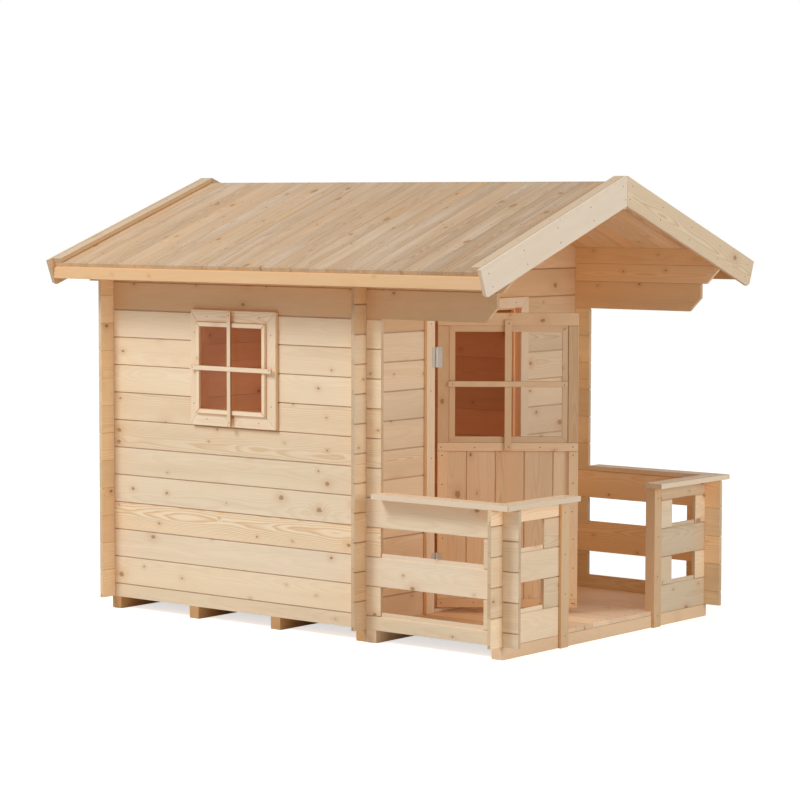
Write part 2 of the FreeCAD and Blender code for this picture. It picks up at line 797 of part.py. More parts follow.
def door_planks():
    """Upright boards behind the lower frame, the last one ripped to fit."""
    body = new_body("door_planks")
    face = "leaf_face + frame_board + fit_gap"
    for index in range(DOOR_PLANKS):
        left = f"leaf_start + {index} * board_height"
        right = f"{left} + board_height - fit_gap"
        inner_right = f"{right} - board_chamfer"
        if index == DOOR_PLANKS - 1:
            right = inner_right = "leaf_end"
        front_right = [(inner_right, face)]
        if inner_right != right:
            front_right += [(right, f"{face} + board_chamfer")]
        add(body, "XY", "door_foot", "leaf_joint - fit_gap / 2", [
            [(f"{left} + board_chamfer", face)] + front_right
            + [(right, "leaf_back"), (left, "leaf_back"), (left, f"{face} + board_chamfer")]])
    swing(body)


def door_glazing():
    left = "leaf_start + hinge_stile_width + fit_gap"
    right = "leaf_end - free_stile_width - fit_gap"
    low, high = "leaf_joint + fit_gap", "door_head - top_rail_height - fit_gap"
    front = "leaf_face + bead_setback"
    back = "leaf_back - bead_setback"
    pane_back = f"(({front}) + ({back}) + pane_thickness) / 2"
    beads = door_piece("door_glazing_beads", mitred_frame(
        left, right, low, high, "bead_width", "bead_width", "bead_width"), front, back)
    pane_left = f"{left} + bead_width - bead_rebate"
    pane_right = f"{right} - bead_width + bead_rebate"
    rebate = rectangle(f"{pane_left} - fit_gap", f"{pane_right} + fit_gap",
                       "glass_low - fit_gap", "glass_high + fit_gap")
    cut(beads, "XZ", [rebate], f"{pane_back} - pane_thickness - fit_gap", "overrun / 2")
    door_piece("door_pane", [rectangle(pane_left, pane_right, "glass_low", "glass_high")],
               f"{pane_back} - pane_thickness", pane_back)


def door_bars():
    """Two bars on the leaf's face, halved where they cross."""
    middle = "leaf_start + door_width / 2"
    half = "door_bar_width / 2"
    low, high = "leaf_joint - door_bar_foot", "door_head - door_bar_head"
    cross_low = "door_head - door_cross_drop - door_cross_bar / 2"
    cross_high = "door_head - door_cross_drop + door_cross_bar / 2"
    front, back = "leaf_face - fit_gap - bar_thickness", "leaf_face - fit_gap"
    depth_half = f"{back} - bar_thickness / 2"
    body = new_body("door_bars")
    add(body, "XZ", front, back, [rectangle(f"{middle} - {half}", f"{middle} + {half}", low, high)])
    cut(body, "XZ", [rectangle(f"{middle} - {half}", f"{middle} + {half}",
                               f"{cross_low} - fit_gap", f"{cross_high} + fit_gap")],
        f"{front} - fit_gap", depth_half)
    add(body, "YZ", "leaf_start + door_cross_end", "leaf_end - door_cross_end",
        [rectangle(front, f"{depth_half} - fit_gap", cross_low, cross_high)])
    ends = (("leaf_start + door_cross_end", f"{middle} - {half} - fit_gap"),
            (f"{middle} + {half} + fit_gap", "leaf_end - door_cross_end"))
    for start, end in ends:
        add(body, "XZ", f"{depth_half} - fit_gap", back,
            [rectangle(start, end, cross_low, cross_high)])
    swing(body)


# Hinges, each a pair of plates with knuckles round one pin

def add_round(body, start, end, centre, radius):
    """Pad a circle from one height to another."""
    sketch = draw_circle(body, "XY", f"(({start}) + ({end})) / 2", centre, radius)
    pad = body.newObject("PartDesign::Pad", body.Label + "_round")
    pad.Profile = sketch
    pad.Midplane = True
    bind(pad, "Length", f"({end}) - ({start})")


def hinge_plates(label, direction, turns, moving):
    """Plates that lie on the casing or the leaf, with their knuckles."""
    body = new_body(label)
    base_x, base_y = ("0", "0") if moving else ("hinge_x", "hinge_y")
    back = f"{base_y} + knuckle_radius - fit_gap / 4"
    front = f"{back} - hinge_plate_thickness"
    near = f"{base_x} + {direction} * (knuckle_radius + fit_gap)"
    far = f"{base_x} + {direction} * (knuckle_radius + hinge_plate_width)"
    share = f"hinge_height / {KNUCKLES}"
    for low in ("low_hinge", "high_hinge"):
        add(body, "XY", low, f"{low} + hinge_height",
            [[(near, front), (far, front), (far, back), (near, back)]])
        for index in turns:
            start = f"{low} + {index} * {share} + fit_gap / 2"
            end = f"{low} + {index + 1} * {share} - fit_gap / 2"
            add_round(body, start, end, (base_x, base_y), "knuckle_radius")
            add(body, "XY", start, end,
                [[(base_x, front), (near, front), (near, back), (base_x, back)]])
    bore = draw_circle(body, "XY", "0", (base_x, base_y), "pin_radius + pin_clearance")
    pocket = body.newObject("PartDesign::Pocket", label + "_bore")
    pocket.Profile = bore
    pocket.Midplane = True
    bind(pocket, "Length", "overrun")
    if moving:
        swing(body)


def hinge_pins():
    body = new_body("hinge_pins")
    for low in ("low_hinge", "high_hinge"):
        add_round(body, low, f"{low} + hinge_height", ("hinge_x", "hinge_y"), "pin_radius")


# Window in the left wall

def window():
    wood_face = "-span_half - fit_gap"
    outside = mitred_frame("casing_front", "casing_rear", "casing_low", "casing_high",
                           "window_casing", "window_casing", "window_casing", "window_rear_casing")
    casing = new_body("window_casing")
    add(casing, "YZ", f"{wood_face} - casing_thickness", wood_face, outside)
    inner_face = "-room_half + fit_gap"
    inside = new_body("window_inner_casing")
    add(inside, "YZ", inner_face, f"{inner_face} + casing_thickness", outside)
    frame = new_body("window_frame")
    add(frame, "YZ", "window_face", "window_back", mitred_frame(
        "window_front", "window_rear", "window_low", "window_high",
        "window_strip", "window_strip", "window_strip"))
    rebate = "window_strip / 2"
    pane_box = (f"window_front + {rebate}", f"window_rear - {rebate}",
                f"window_low + {rebate}", f"window_high - {rebate}")
    clear_box = (f"window_front + {rebate} - fit_gap", f"window_rear - {rebate} + fit_gap",
                 f"window_low + {rebate} - fit_gap", f"window_high - {rebate} + fit_gap")
    pane_face = "window_face + window_proud"
    cut(frame, "YZ", [rectangle(*clear_box)], pane_face, "0")
    pane = new_body("window_pane")
    add(pane, "YZ", f"{pane_face} + fit_gap", f"{pane_face} + fit_gap + pane_thickness",
        [rectangle(*pane_box)])


def window_bars():
    """Two bars on the window frame's face, halved where they cross."""
    body = new_body("window_bars")
    half = "window_bar_width / 2"
    front, back = "window_face - fit_gap - bar_thickness", "window_face - fit_gap"
    depth_half = f"{back} - bar_thickness / 2"
    bar_front, bar_rear = "casing_front + window_bar_setback", "casing_rear - window_bar_setback"
    upright = rectangle(f"window_centre - {half}", f"window_centre + {half}",
                        "casing_low + window_upright_setback",
                        "casing_high - window_upright_setback")
    add(body, "YZ", front, back, [upright])
    crossing = rectangle(f"window_centre - {half}", f"window_centre + {half}",
                         f"window_middle - {half} - fit_gap", f"window_middle + {half} + fit_gap")
    cut(body, "YZ", [crossing], f"{front} - fit_gap", depth_half)
    add(body, "YZ", front, f"{depth_half} - fit_gap",
        [rectangle(bar_front, bar_rear,
                   f"window_middle - {half}", f"window_middle + {half}")])
    ends = ((bar_front, f"window_centre - {half} - fit_gap"),
            (f"window_centre + {half} + fit_gap", bar_rear))
    for start, end in ends:
        add(body, "YZ", f"{depth_half} - fit_gap", back,
            [rectangle(start, end, f"window_middle - {half}", f"window_middle + {half}")])


cabin_joists()
porch_joists()
floors()
for wall_side, wall_name in ((LEFT, "left"), (RIGHT, "right")):
    side_wall(wall_side, wall_name)
    porch_return(wall_side, wall_name)
    caps(wall_side, wall_name)
    roof_boards(wall_side, wall_name)
    verge(wall_side, wall_name)
    bargeboard(wall_side, f"front_{wall_name}_bargeboard",
               "roof_front_edge - barge_thickness", "roof_front_edge")
    bargeboard(wall_side, f"rear_{wall_name}_bargeboard",
               "roof_rear_edge", "roof_rear_edge + barge_thickness")
side_stubs()
return_stubs()
eave_fascias()
window_boards()
front_wall()
back_wall()
gable("front_gable_boards", front_depth)
gable("back_gable_boards", back_depth)
ridge_beam()
door_frame()
door_frame_boards()
door_planks()
door_glazing()
door_bars()
hinge_plates("hinge_frame_plates", "-1", (0, 2), moving=False)
hinge_plates("hinge_door_plates", "1", (1,), moving=True)
hinge_pins()
window()
window_bars()

doc.recompute()

# Checks before anything is written
for item in doc.Objects:
    if "Invalid" in item.State or "Error" in item.State:
        raise RuntimeError(f"{item.Name} failed: {item.State}")
bodies = [item for item in doc.Objects if item.TypeId == "PartDesign::Body"]
for body in bodies:
    if body.Shape.isNull() or not body.Shape.isValid():
        raise RuntimeError(f"{body.Label} has no valid shape")

os.makedirs("parts", exist_ok=True)
for body in bodies:
    body.Shape.exportStep(f"parts/{body.Label}.step")
print(f"{len(bodies)} sub-parts, {sum(len(body.Shape.Solids) for body in bodies)} solids")
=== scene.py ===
# %% [markdown]
# A log-board playhouse with a railed porch, in untreated spruce.
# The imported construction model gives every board's true shape, place and joint, and it is loaded
# first, as a fixed frame. The cells after it add what the construction leaves out: eased edges, the
# grain and knots of each board, nails, zinc, clear panes, a pale floor and soft studio light.

# %% Load the construction
import json
import math
import random

import bmesh
import bpy
from mathutils import Matrix, Vector
from mathutils.bvhtree import BVHTree


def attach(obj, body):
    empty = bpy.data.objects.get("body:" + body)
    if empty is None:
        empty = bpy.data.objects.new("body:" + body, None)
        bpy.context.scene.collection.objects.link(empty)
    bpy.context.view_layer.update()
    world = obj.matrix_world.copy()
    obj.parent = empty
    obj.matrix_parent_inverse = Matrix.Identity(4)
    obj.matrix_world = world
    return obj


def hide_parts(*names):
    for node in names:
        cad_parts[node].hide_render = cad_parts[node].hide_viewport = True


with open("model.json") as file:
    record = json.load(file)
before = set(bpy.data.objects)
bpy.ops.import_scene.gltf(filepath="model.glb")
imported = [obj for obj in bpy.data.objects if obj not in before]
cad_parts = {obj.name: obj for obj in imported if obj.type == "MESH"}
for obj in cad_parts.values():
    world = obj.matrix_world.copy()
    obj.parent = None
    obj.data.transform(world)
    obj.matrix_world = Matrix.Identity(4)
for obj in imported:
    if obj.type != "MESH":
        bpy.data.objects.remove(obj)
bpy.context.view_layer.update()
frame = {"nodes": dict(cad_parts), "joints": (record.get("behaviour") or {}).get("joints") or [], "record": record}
NODES = frame["nodes"]

# %% [markdown]
# The camera stands where the photographer stood: off the left front corner, a little above a child's
# head, with a long lens, so that upright edges stay nearly upright. Fitting a camera to the board
# joints that can be read in a photograph gives its place better than trying by eye.

# %% Camera
CAMERA_PLACE = Vector((-8.500, -6.872, 1.693))
CAMERA_TURN = math.radians(-51.03)
CAMERA_TILT = math.radians(90 - 4.274)
CAMERA_ROLL = math.radians(0.126)
LENS_MM = 119.58
SENSOR_MM = 36
FARTHEST_SEEN = 200


def add_object(name, data):
    """Put a mesh, a lamp or a camera into the scene."""
    thing = bpy.data.objects.new(name, data)
    bpy.context.scene.collection.objects.link(thing)
    return thing


camera_data = bpy.data.cameras.new("camera")
camera_data.lens = LENS_MM
camera_data.sensor_width = SENSOR_MM
camera_data.clip_end = FARTHEST_SEEN
camera = add_object("camera", camera_data)
turn = Matrix.Rotation(CAMERA_TURN, 4, "Z")
tilt = Matrix.Rotation(CAMERA_TILT, 4, "X")
roll = Matrix.Rotation(CAMERA_ROLL, 4, "Z")
camera.matrix_world = Matrix.Translation(CAMERA_PLACE) @ turn @ tilt @ roll
bpy.context.scene.camera = camera
bpy.context.scene.view_settings.view_transform = "Standard"
print(f"camera {camera.location.length:.1f} m from the origin, {LENS_MM} mm lens")

# %% [markdown]
# The room and the materials are trees of small nodes, one step of arithmetic in each. They could be
# wired up by hand, at three lines a node, but the grain alone has dozens. With a few helpers that
# each add one node and hand back its output, a tree reads like a sum.

# %% Helpers for node trees
def feed(tree, socket, value):
    """Set a socket to a number or a colour, or link it to another node's output."""
    if isinstance(value, bpy.types.NodeSocket):
        tree.links.new(value, socket)
    else:
        socket.default_value = value


def step(tree, kind, operation, values):
    """One node of arithmetic."""
    node = tree.nodes.new(kind)
    node.operation = operation
    for socket, value in zip(node.inputs, values):
        feed(tree, socket, value)
    return node.outputs[0]


def maths(tree, operation, *values):
    """One step of arithmetic with numbers."""
    return step(tree, "ShaderNodeMath", operation, values)


def vector_maths(tree, operation, *values):
    """One step of arithmetic with places or colours."""
    return step(tree, "ShaderNodeVectorMath", operation, values)


def fitted(tree, value, low, high, out_low, out_high, smooth=False):
    """Map one range of a value onto another."""
    node = tree.nodes.new("ShaderNodeMapRange")
    node.interpolation_type = "SMOOTHSTEP" if smooth else "LINEAR"
    for name, number in (("Value", value), ("From Min", low), ("From Max", high),
                         ("To Min", out_low), ("To Max", out_high)):
        feed(tree, node.inputs[name], number)
    return node.outputs["Result"]


def blended(tree, share, first, second, kind="MIX"):
    """Blend two colours."""
    node = tree.nodes.new("ShaderNodeMix")
    node.data_type = "RGBA"
    node.blend_type = kind
    feed(tree, node.inputs["Factor"], share)
    feed(tree, node.inputs[6], first)
    feed(tree, node.inputs[7], second)
    return node.outputs[2]


print("node helpers ready")

# %% [markdown]
# The room is plain and pale, and lights the wood evenly from all sides. It could simply be white, but
# pale wood in a white room of full strength burns out. So it has two values: the camera, reflections
# and the panes see white, and the wood is lit by about half of that. A colour then comes out about as
# it is written.

# %% Pale room
WHITE = (1, 1, 1, 1)
ROOM_LIGHT = 0.47
ROOM_TINT = (1.0, 0.985, 0.965, 1)

world = bpy.data.worlds.new("pale_room")
bpy.context.scene.world = world
world.use_nodes = True
sky = world.node_tree
sky.nodes.clear()
ray = sky.nodes.new("ShaderNodeLightPath").outputs
seen = maths(sky, "MAXIMUM", ray["Is Camera Ray"], ray["Is Glossy Ray"])
seen = maths(sky, "MAXIMUM", seen, ray["Is Transmission Ray"])
chosen = sky.nodes.new("ShaderNodeMixShader")
sky.links.new(seen, chosen.inputs[0])
for slot_number, colour, strength in ((1, ROOM_TINT, ROOM_LIGHT), (2, WHITE, 1.0)):
    backdrop = sky.nodes.new("ShaderNodeBackground")
    backdrop.inputs["Color"].default_value = colour
    backdrop.inputs["Strength"].default_value = strength
    sky.links.new(backdrop.outputs[0], chosen.inputs[slot_number])
room_out = sky.nodes.new("ShaderNodeOutputWorld")
sky.links.new(chosen.outputs[0], room_out.inputs["Surface"])
print(f"the room is white to the eye and lights the wood at {ROOM_LIGHT}")

# %% [markdown]
# A large soft lamp high on the left makes the window wall the brightest, and a weaker one in front of
# the porch fills its shade. A third hangs in the cabin, very weak and unseen itself. It stands for
# light that goes round inside more often than is worked out; without it the room behind the door
# would be too dark.

# %% Lamps
# Place, watts and width of each large lamp.
LAMPS = {"left_lamp": (Vector((-5.6, 2.4, 6.1)), 372, 3.0),
         "porch_lamp": (Vector((0.2, -7.6, 2.0)), 158, 3.5)}
LAMP_AIM = Vector((0, -0.4, 0.8))
LAMP_TINT = (1.0, 0.985, 0.96)
CABIN_LAMP_PLACE = Vector((0.1, 0.3, 0.84))
CABIN_LAMP_WATTS = 1.4
CABIN_LAMP_RADIUS = 0.25

for name, (place, watts, size) in LAMPS.items():
    lamp_data = bpy.data.lights.new(name, "AREA")
    lamp_data.shape = "DISK"
    lamp_data.size = size
    lamp_data.energy = watts
    lamp_data.color = LAMP_TINT
    lamp = add_object(name, lamp_data)
    lamp.location = place
    lamp.rotation_euler = (LAMP_AIM - place).to_track_quat("-Z", "Y").to_euler()
    print(f"{name}: {watts} W at {(LAMP_AIM - place).length:.1f} m")

cabin_light = bpy.data.lights.new("cabin_lamp", "POINT")
cabin_light.energy = CABIN_LAMP_WATTS
cabin_light.shadow_soft_size = CABIN_LAMP_RADIUS
cabin_lamp = add_object("cabin_lamp", cabin_light)
cabin_lamp.location = CABIN_LAMP_PLACE
cabin_lamp.visible_camera = False
cabin_lamp.visible_glossy = False
cabin_lamp.visible_transmission = False
print(f"cabin_lamp: {CABIN_LAMP_WATTS} W")

# %% [markdown]
# Every wooden surface is the same stuff with other values: year rings round a pith, knots where
# branches left the stem, and fine fibre lines. It could be a flat pattern laid on each face, but then
# the lines wouldn't run on over an edge and onto the end grain. So the pattern is worked out inside
# the wood. Each board carries its own lengthwise, crosswise and through-going places, and how far off
# the pith of its stem lay.

# %% Helpers for patterns
def parts_of(tree, vector):
    """Split a vector into its three numbers."""
    node = tree.nodes.new("ShaderNodeSeparateXYZ")
    feed(tree, node.inputs[0], vector)
    return node.outputs


def carried(tree, name):
    """Three numbers that each board or face carries."""
    node = tree.nodes.new("ShaderNodeAttribute")
    node.attribute_name = name
    return node.outputs["Vector"]


def noise(tree, vector, scale, detail=2.0):
    """Soft noise round 0."""
    node = tree.nodes.new("ShaderNodeTexNoise")
    feed(tree, node.inputs["Vector"], vector_maths(tree, "MULTIPLY", vector, scale))
    node.inputs["Scale"].default_value = 1.0
    node.inputs["Detail"].default_value = detail
    return maths(tree, "SUBTRACT", node.outputs["Fac"], 0.5)


def leaned(tree, amount, colour, above, below):
    """Blend a colour towards one where the amount is over 0, towards another where it is under."""
    colour = blended(tree, maths(tree, "MAXIMUM", amount, 0.0), colour, above)
    opposite = maths(tree, "MULTIPLY", amount, -1.0)
    return blended(tree, maths(tree, "MAXIMUM", opposite, 0.0), colour, below)


print("pattern helpers ready")

# %% [markdown]
# Where a branch left the stem, a board shows a knot. Knots could be set one by one, but a house has
# hundreds. So each board is split into cells with room for one knot each, and the cell's own random
# number says whether it has one and how large. Most are small. The cells are half as long again as
# they are wide, which makes the knots oval, and a little noise keeps their outlines uneven. Round
# each core lies a halo, in which the rings swell and the wood is browner.

# %% Knots
KNOTS_PER_METRE = 7.5
KNOT_SMALLEST = 0.0016
KNOT_LARGEST = 0.0125
KNOT_STRETCH = (0.68, 1.0, 1.0)
OUTLINE_SCALE = (70.0, 70.0, 70.0)
OUTLINE_NOISE = 0.010
RIM_OUTSIDE = 0.0016
RIM_INSIDE = 0.0018
HALO_PER_RADIUS = 2.2
HALO_LEAST = 0.006


def knots(tree, moved, share, enlarged):
    """Size from 0 to 1, radius, core and halo of the knot nearest to a place."""
    cells = tree.nodes.new("ShaderNodeTexVoronoi")
    cells.voronoi_dimensions = "2D"
    feed(tree, cells.inputs["Vector"], vector_maths(tree, "MULTIPLY", moved, KNOT_STRETCH))
    cells.inputs["Scale"].default_value = KNOTS_PER_METRE
    away = maths(tree, "DIVIDE", cells.outputs["Distance"], KNOTS_PER_METRE)
    away = maths(tree, "MULTIPLY_ADD", noise(tree, moved, OUTLINE_SCALE), OUTLINE_NOISE, away)
    luck = parts_of(tree, cells.outputs["Color"])[0]
    present = maths(tree, "LESS_THAN", luck, share)
    size = maths(tree, "POWER", fitted(tree, luck, 0.0, share, 1.0, 0.0), 3.0)
    radius = maths(tree, "MULTIPLY_ADD", size, KNOT_LARGEST - KNOT_SMALLEST, KNOT_SMALLEST)
    radius = maths(tree, "MULTIPLY", radius, enlarged)
    outer = maths(tree, "ADD", radius, RIM_OUTSIDE)
    inner = maths(tree, "SUBTRACT", radius, RIM_INSIDE)
    core = maths(tree, "MULTIPLY", fitted(tree, away, outer, inner, 0.0, 1.0, smooth=True), present)
    reach = maths(tree, "MULTIPLY_ADD", radius, HALO_PER_RADIUS, HALO_LEAST)
    fall = maths(tree, "DIVIDE", away, reach)
    fall = maths(tree, "MULTIPLY", maths(tree, "MULTIPLY", fall, fall), -1.0)
    halo = maths(tree, "MULTIPLY", maths(tree, "EXPONENT", fall), present)
    return size, radius, core, halo


print(f"knots of {2000 * KNOT_SMALLEST:.0f} to {2000 * KNOT_LARGEST:.0f} mm")

# %% [markdown]
# A year ring is a layer round the pith: pale early wood that slowly darkens into late wood and ends
# sharply. Rings could be plain stripes, but a board is a slice of a stem. So they are worked out from
# the distance to the pith, bent a little by slow noise and drawn into a slight cone, because a stem
# tapers. That is what draws arches on a board's face.

# %% Year rings
STEM_TAPER = 0.012
BEND_SCALE = (1.5, 4.0, 4.0)
BEND = 0.034
RUFFLE_SCALE = (0.6, 55.0, 55.0)
RUFFLE = 1.1
SWELL_ROUND_KNOTS = 1.1
LATE_BEGINS = 0.25
LATE_ENDS = 0.90


def rings(tree, place, pith, moved, ring_width, swell):
    """Share of late wood at a place, from 0 to 1."""
    along, cross, depth = parts_of(tree, place)
    cross_gap = maths(tree, "SUBTRACT", cross, pith[0])
    depth_gap = maths(tree, "SUBTRACT", depth, pith[1])
    squares = maths(tree, "MULTIPLY", depth_gap, depth_gap)
    from_pith = maths(tree, "SQRT", maths(tree, "MULTIPLY_ADD", cross_gap, cross_gap, squares))
    bend = maths(tree, "MULTIPLY", noise(tree, moved, BEND_SCALE), BEND)
    cone = maths(tree, "MULTIPLY_ADD", along, STEM_TAPER, bend)
    cone = maths(tree, "ADD", swell, cone)
    ring = maths(tree, "DIVIDE", maths(tree, "ADD", from_pith, cone), ring_width)
    ring = maths(tree, "MULTIPLY_ADD", noise(tree, moved, RUFFLE_SCALE), RUFFLE, ring)
    phase = maths(tree, "FRACT", ring)
    darkening = fitted(tree, phase, LATE_BEGINS, LATE_ENDS, 0.0, 1.0, smooth=True)
    return maths(tree, "MULTIPLY", darkening, fitted(tree, phase, LATE_ENDS, 1.0, 1.0, 0.0))


print("year rings ready")

# %% [markdown]
# The grain puts rings and knots together, with fibre lines, streaks and cloudy blotches. Each board also has a
# tone, a contrast and a warmth, which in some groups of boards carry painted shade and painted light, and each
# face three marks: end grain or, below zero, painted light; the painted shade of a joint; and whether it looks
# into the cabin, which paints the cabin's warm light. They could be separate materials, but one group with a few
# sockets keeps all the woods alike. It puts out a colour, a roughness, a height and a joint's painted shade.

# %% Grain of spruce
COLOURS_IN = ("Earlywood", "Latewood")
NUMBERS_IN = ("Ring Width", "Ring Strength", "Streaks", "Blotches", "Knot Share", "Knot Size")
BOARD_SHIFT = (17.3, 5.1, 9.7)
FIBRE_SCALE = (14.0, 430.0, 430.0)
STREAK_SCALE = (0.9, 26.0, 26.0)
BLOTCH_SCALE = (1.8, 9.0, 9.0)
WARM, COOL = (0.62, 0.36, 0.16, 1), (0.80, 0.71, 0.63, 1)
BLOTCH_BROWN, BLOTCH_PALE = (0.60, 0.33, 0.14, 1), (0.72, 0.62, 0.52, 1)
END_BROWN, END_STRENGTH = (0.42, 0.27, 0.14, 1), 0.5
PAINTED_LIGHT_PER_MARK = -0.22
HALO_BROWN, HALO_STRENGTH = (0.50, 0.27, 0.11, 1), 0.35
KNOT_BROWN, KNOT_STRENGTH, KNOT_LESS_IF_LARGE = (0.25, 0.12, 0.045, 1), 0.80, -0.25
# Painted light: faces that look into the cabin are multiplied by this warm colour.
CABIN_PAINTED_LIGHT = (1.0, 0.55, 0.35, 1)
# Painted shade that darkens the narrow faces in a joint.
PAINTED_JOINT_SHADE = (0.48, 0.25, 0.11, 1)
FIBRE_SHADE = 0.12
FIBRE_GLOSS, PLANED_ROUGHNESS = 0.12, 0.6
RING_RELIEF = 0.35


def spruce_grain():
    """The group of nodes that all the woods share."""
    tree = bpy.data.node_groups.new("spruce_grain", "ShaderNodeTree")
    for direction, kind, names in (("INPUT", "NodeSocketColor", COLOURS_IN),
                                   ("INPUT", "NodeSocketFloat", NUMBERS_IN),
                                   ("OUTPUT", "NodeSocketColor", ("Color", "Joint")),
                                   ("OUTPUT", "NodeSocketFloat", ("Roughness", "Height"))):
        for name in names:
            tree.interface.new_socket(name, in_out=direction, socket_type=kind)
    given = tree.nodes.new("NodeGroupInput").outputs
    place = carried(tree, "grain")
    pith_cross, pith_depth, seed = parts_of(tree, carried(tree, "pith"))
    tone, contrast, warmth = parts_of(tree, carried(tree, "board"))
    end, painted_seam_shade, inside = parts_of(tree, carried(tree, "face"))
    moved = vector_maths(tree, "MULTIPLY_ADD", seed, BOARD_SHIFT, place)

    size, radius, core, halo = knots(tree, moved, given["Knot Share"], given["Knot Size"])
    swell = maths(tree, "MULTIPLY", halo, maths(tree, "MULTIPLY", radius, SWELL_ROUND_KNOTS))
    late = rings(tree, place, (pith_cross, pith_depth), moved, given["Ring Width"], swell)
    fibre = noise(tree, moved, FIBRE_SCALE, 3.0)
    streak = noise(tree, moved, STREAK_SCALE, 3.0)
    blotch = maths(tree, "MULTIPLY", noise(tree, moved, BLOTCH_SCALE), given["Blotches"])

    strength = maths(tree, "MULTIPLY", given["Ring Strength"], contrast)
    strength = maths(tree, "MULTIPLY", late, strength)
    colour = blended(tree, strength, given["Earlywood"], given["Latewood"])
    colour = leaned(tree, warmth, colour, WARM, COOL)
    colour = leaned(tree, blotch, colour, BLOTCH_BROWN, BLOTCH_PALE)
    shade = maths(tree, "MULTIPLY_ADD", fibre, FIBRE_SHADE, tone)
    shade = maths(tree, "MULTIPLY_ADD", streak, given["Streaks"], shade)
    # Painted light: a first mark below zero makes the colour paler.
    shade = maths(tree, "MULTIPLY_ADD", maths(tree, "MINIMUM", end, 0.0), PAINTED_LIGHT_PER_MARK, shade)
    end_share = maths(tree, "MULTIPLY", maths(tree, "MAXIMUM", end, 0.0), END_STRENGTH)
    colour = blended(tree, end_share, colour, END_BROWN)
    colour = vector_maths(tree, "MULTIPLY", colour, maths(tree, "ADD", shade, 1.0))
    colour = blended(tree, maths(tree, "MULTIPLY", halo, HALO_STRENGTH), colour, HALO_BROWN)
    firm = maths(tree, "MULTIPLY_ADD", size, KNOT_LESS_IF_LARGE, KNOT_STRENGTH)
    colour = blended(tree, maths(tree, "MULTIPLY", core, firm), colour, KNOT_BROWN)
    # Painted light: faces that look into the cabin come out warmer.
    colour = blended(tree, inside, colour, CABIN_PAINTED_LIGHT, "MULTIPLY")

    done = tree.nodes.new("NodeGroupOutput")
    feed(tree, done.inputs["Color"], colour)
    # The joint's painted shade, as a colour to multiply by.
    feed(tree, done.inputs["Joint"], blended(tree, painted_seam_shade, WHITE, PAINTED_JOINT_SHADE))
    roughness = maths(tree, "MULTIPLY_ADD", fibre, FIBRE_GLOSS, PLANED_ROUGHNESS)
    feed(tree, done.inputs["Roughness"], roughness)
    feed(tree, done.inputs["Height"], maths(tree, "MULTIPLY_ADD", late, RING_RELIEF, fibre))
    return tree


GRAIN = spruce_grain()
print(f"spruce grain: {len(GRAIN.nodes)} nodes")

# %% [markdown]
# Four woods use that grain. The walls are pale and even, and the planed trim has finer rings and fewer knots. The
# roof boards are darker and the streakiest, with the largest knots. The floor is a little redder, with stronger
# rings. Planed, untreated softwood has no coat, so each is plain and fairly rough. Light that goes from board to
# board gets redder each time. Here scattered rays meet a warmer colour than the eye, which paints the shade and
# the light thrown between boards warmer than the plain colour would make them.

# %% Woods
# Early and late wood, ring width, ring strength, streaks, blotches, share and size of knots.
WOOD_VALUES = {
    "wall_pine": ((0.755, 0.635, 0.465, 1), (0.58, 0.36, 0.17, 1), 0.0036, 0.38, 0.17, 0.50, 0.64, 1.0),
    "trim_pine": ((0.75, 0.620, 0.455, 1), (0.58, 0.36, 0.17, 1), 0.0030, 0.32, 0.10, 0.30, 0.45, 0.9),
    "roof_pine": ((0.52, 0.38, 0.25, 1), (0.36, 0.21, 0.10, 1), 0.0034, 0.60, 0.45, 1.45, 0.75, 1.2),
    "floor_pine": ((0.78, 0.60, 0.42, 1), (0.56, 0.34, 0.17, 1), 0.0034, 0.45, 0.18, 0.50, 0.45, 1.0)}
SCATTERED_PAINTED_WARMTH = (1.0, 0.64, 0.27, 1)
WOOD_SHEEN = 0.3
RELIEF_STRENGTH, RELIEF_DEPTH = 0.3, 0.0006


def wood(name, values):
    """A material that carries the grain in its own colours."""
    material = bpy.data.materials.new(name)
    material.use_nodes = True
    tree = material.node_tree
    shader = tree.nodes["Principled BSDF"]
    shader.inputs["Specular IOR Level"].default_value = WOOD_SHEEN
    grain = tree.nodes.new("ShaderNodeGroup")
    grain.node_tree = GRAIN
    for socket, value in zip((*COLOURS_IN, *NUMBERS_IN), values):
        grain.inputs[socket].default_value = value
    relief = tree.nodes.new("ShaderNodeBump")
    relief.inputs["Strength"].default_value = RELIEF_STRENGTH
    relief.inputs["Distance"].default_value = RELIEF_DEPTH
    feed(tree, relief.inputs["Height"], grain.outputs["Height"])
    ray = tree.nodes.new("ShaderNodeLightPath").outputs
    # Painted warmth: scattered rays meet a warmer colour, which warms the shade and the light thrown between
    # boards.
    colour = blended(tree, ray["Is Diffuse Ray"], grain.outputs["Color"], SCATTERED_PAINTED_WARMTH)
    # The joint's painted shade darkens what the camera and the scattered rays meet.
    colour = blended(tree, 1.0, colour, grain.outputs["Joint"], "MULTIPLY")
    feed(tree, shader.inputs["Base Color"], colour)
    feed(tree, shader.inputs["Roughness"], grain.outputs["Roughness"])
    feed(tree, shader.inputs["Normal"], relief.outputs["Normal"])
    return material


WOODS = {name: wood(name, values) for name, values in WOOD_VALUES.items()}
print("woods:", ", ".join(WOODS))

# %% [markdown]
# The hinges are zinc plated, the nails are dull steel, and the window and the door have a clear
# sheet. The sheet could be all glass, but a house lit through glass needs very long rendering. So it
# is mostly see-through, with a small share of true glass on top: light passes straight into the room
# behind it.

# %% Zinc, nail steel and clear sheet
def plain(name, colour, metallic, roughness):
    """A material with the same values all over."""
    material = bpy.data.materials.new(name)
    material.use_nodes = True
    shader = material.node_tree.nodes["Principled BSDF"]
    shader.inputs["Base Color"].default_value = (*colour, 1)
    shader.inputs["Metallic"].default_value = metallic
    shader.inputs["Roughness"].default_value = roughness
    return material


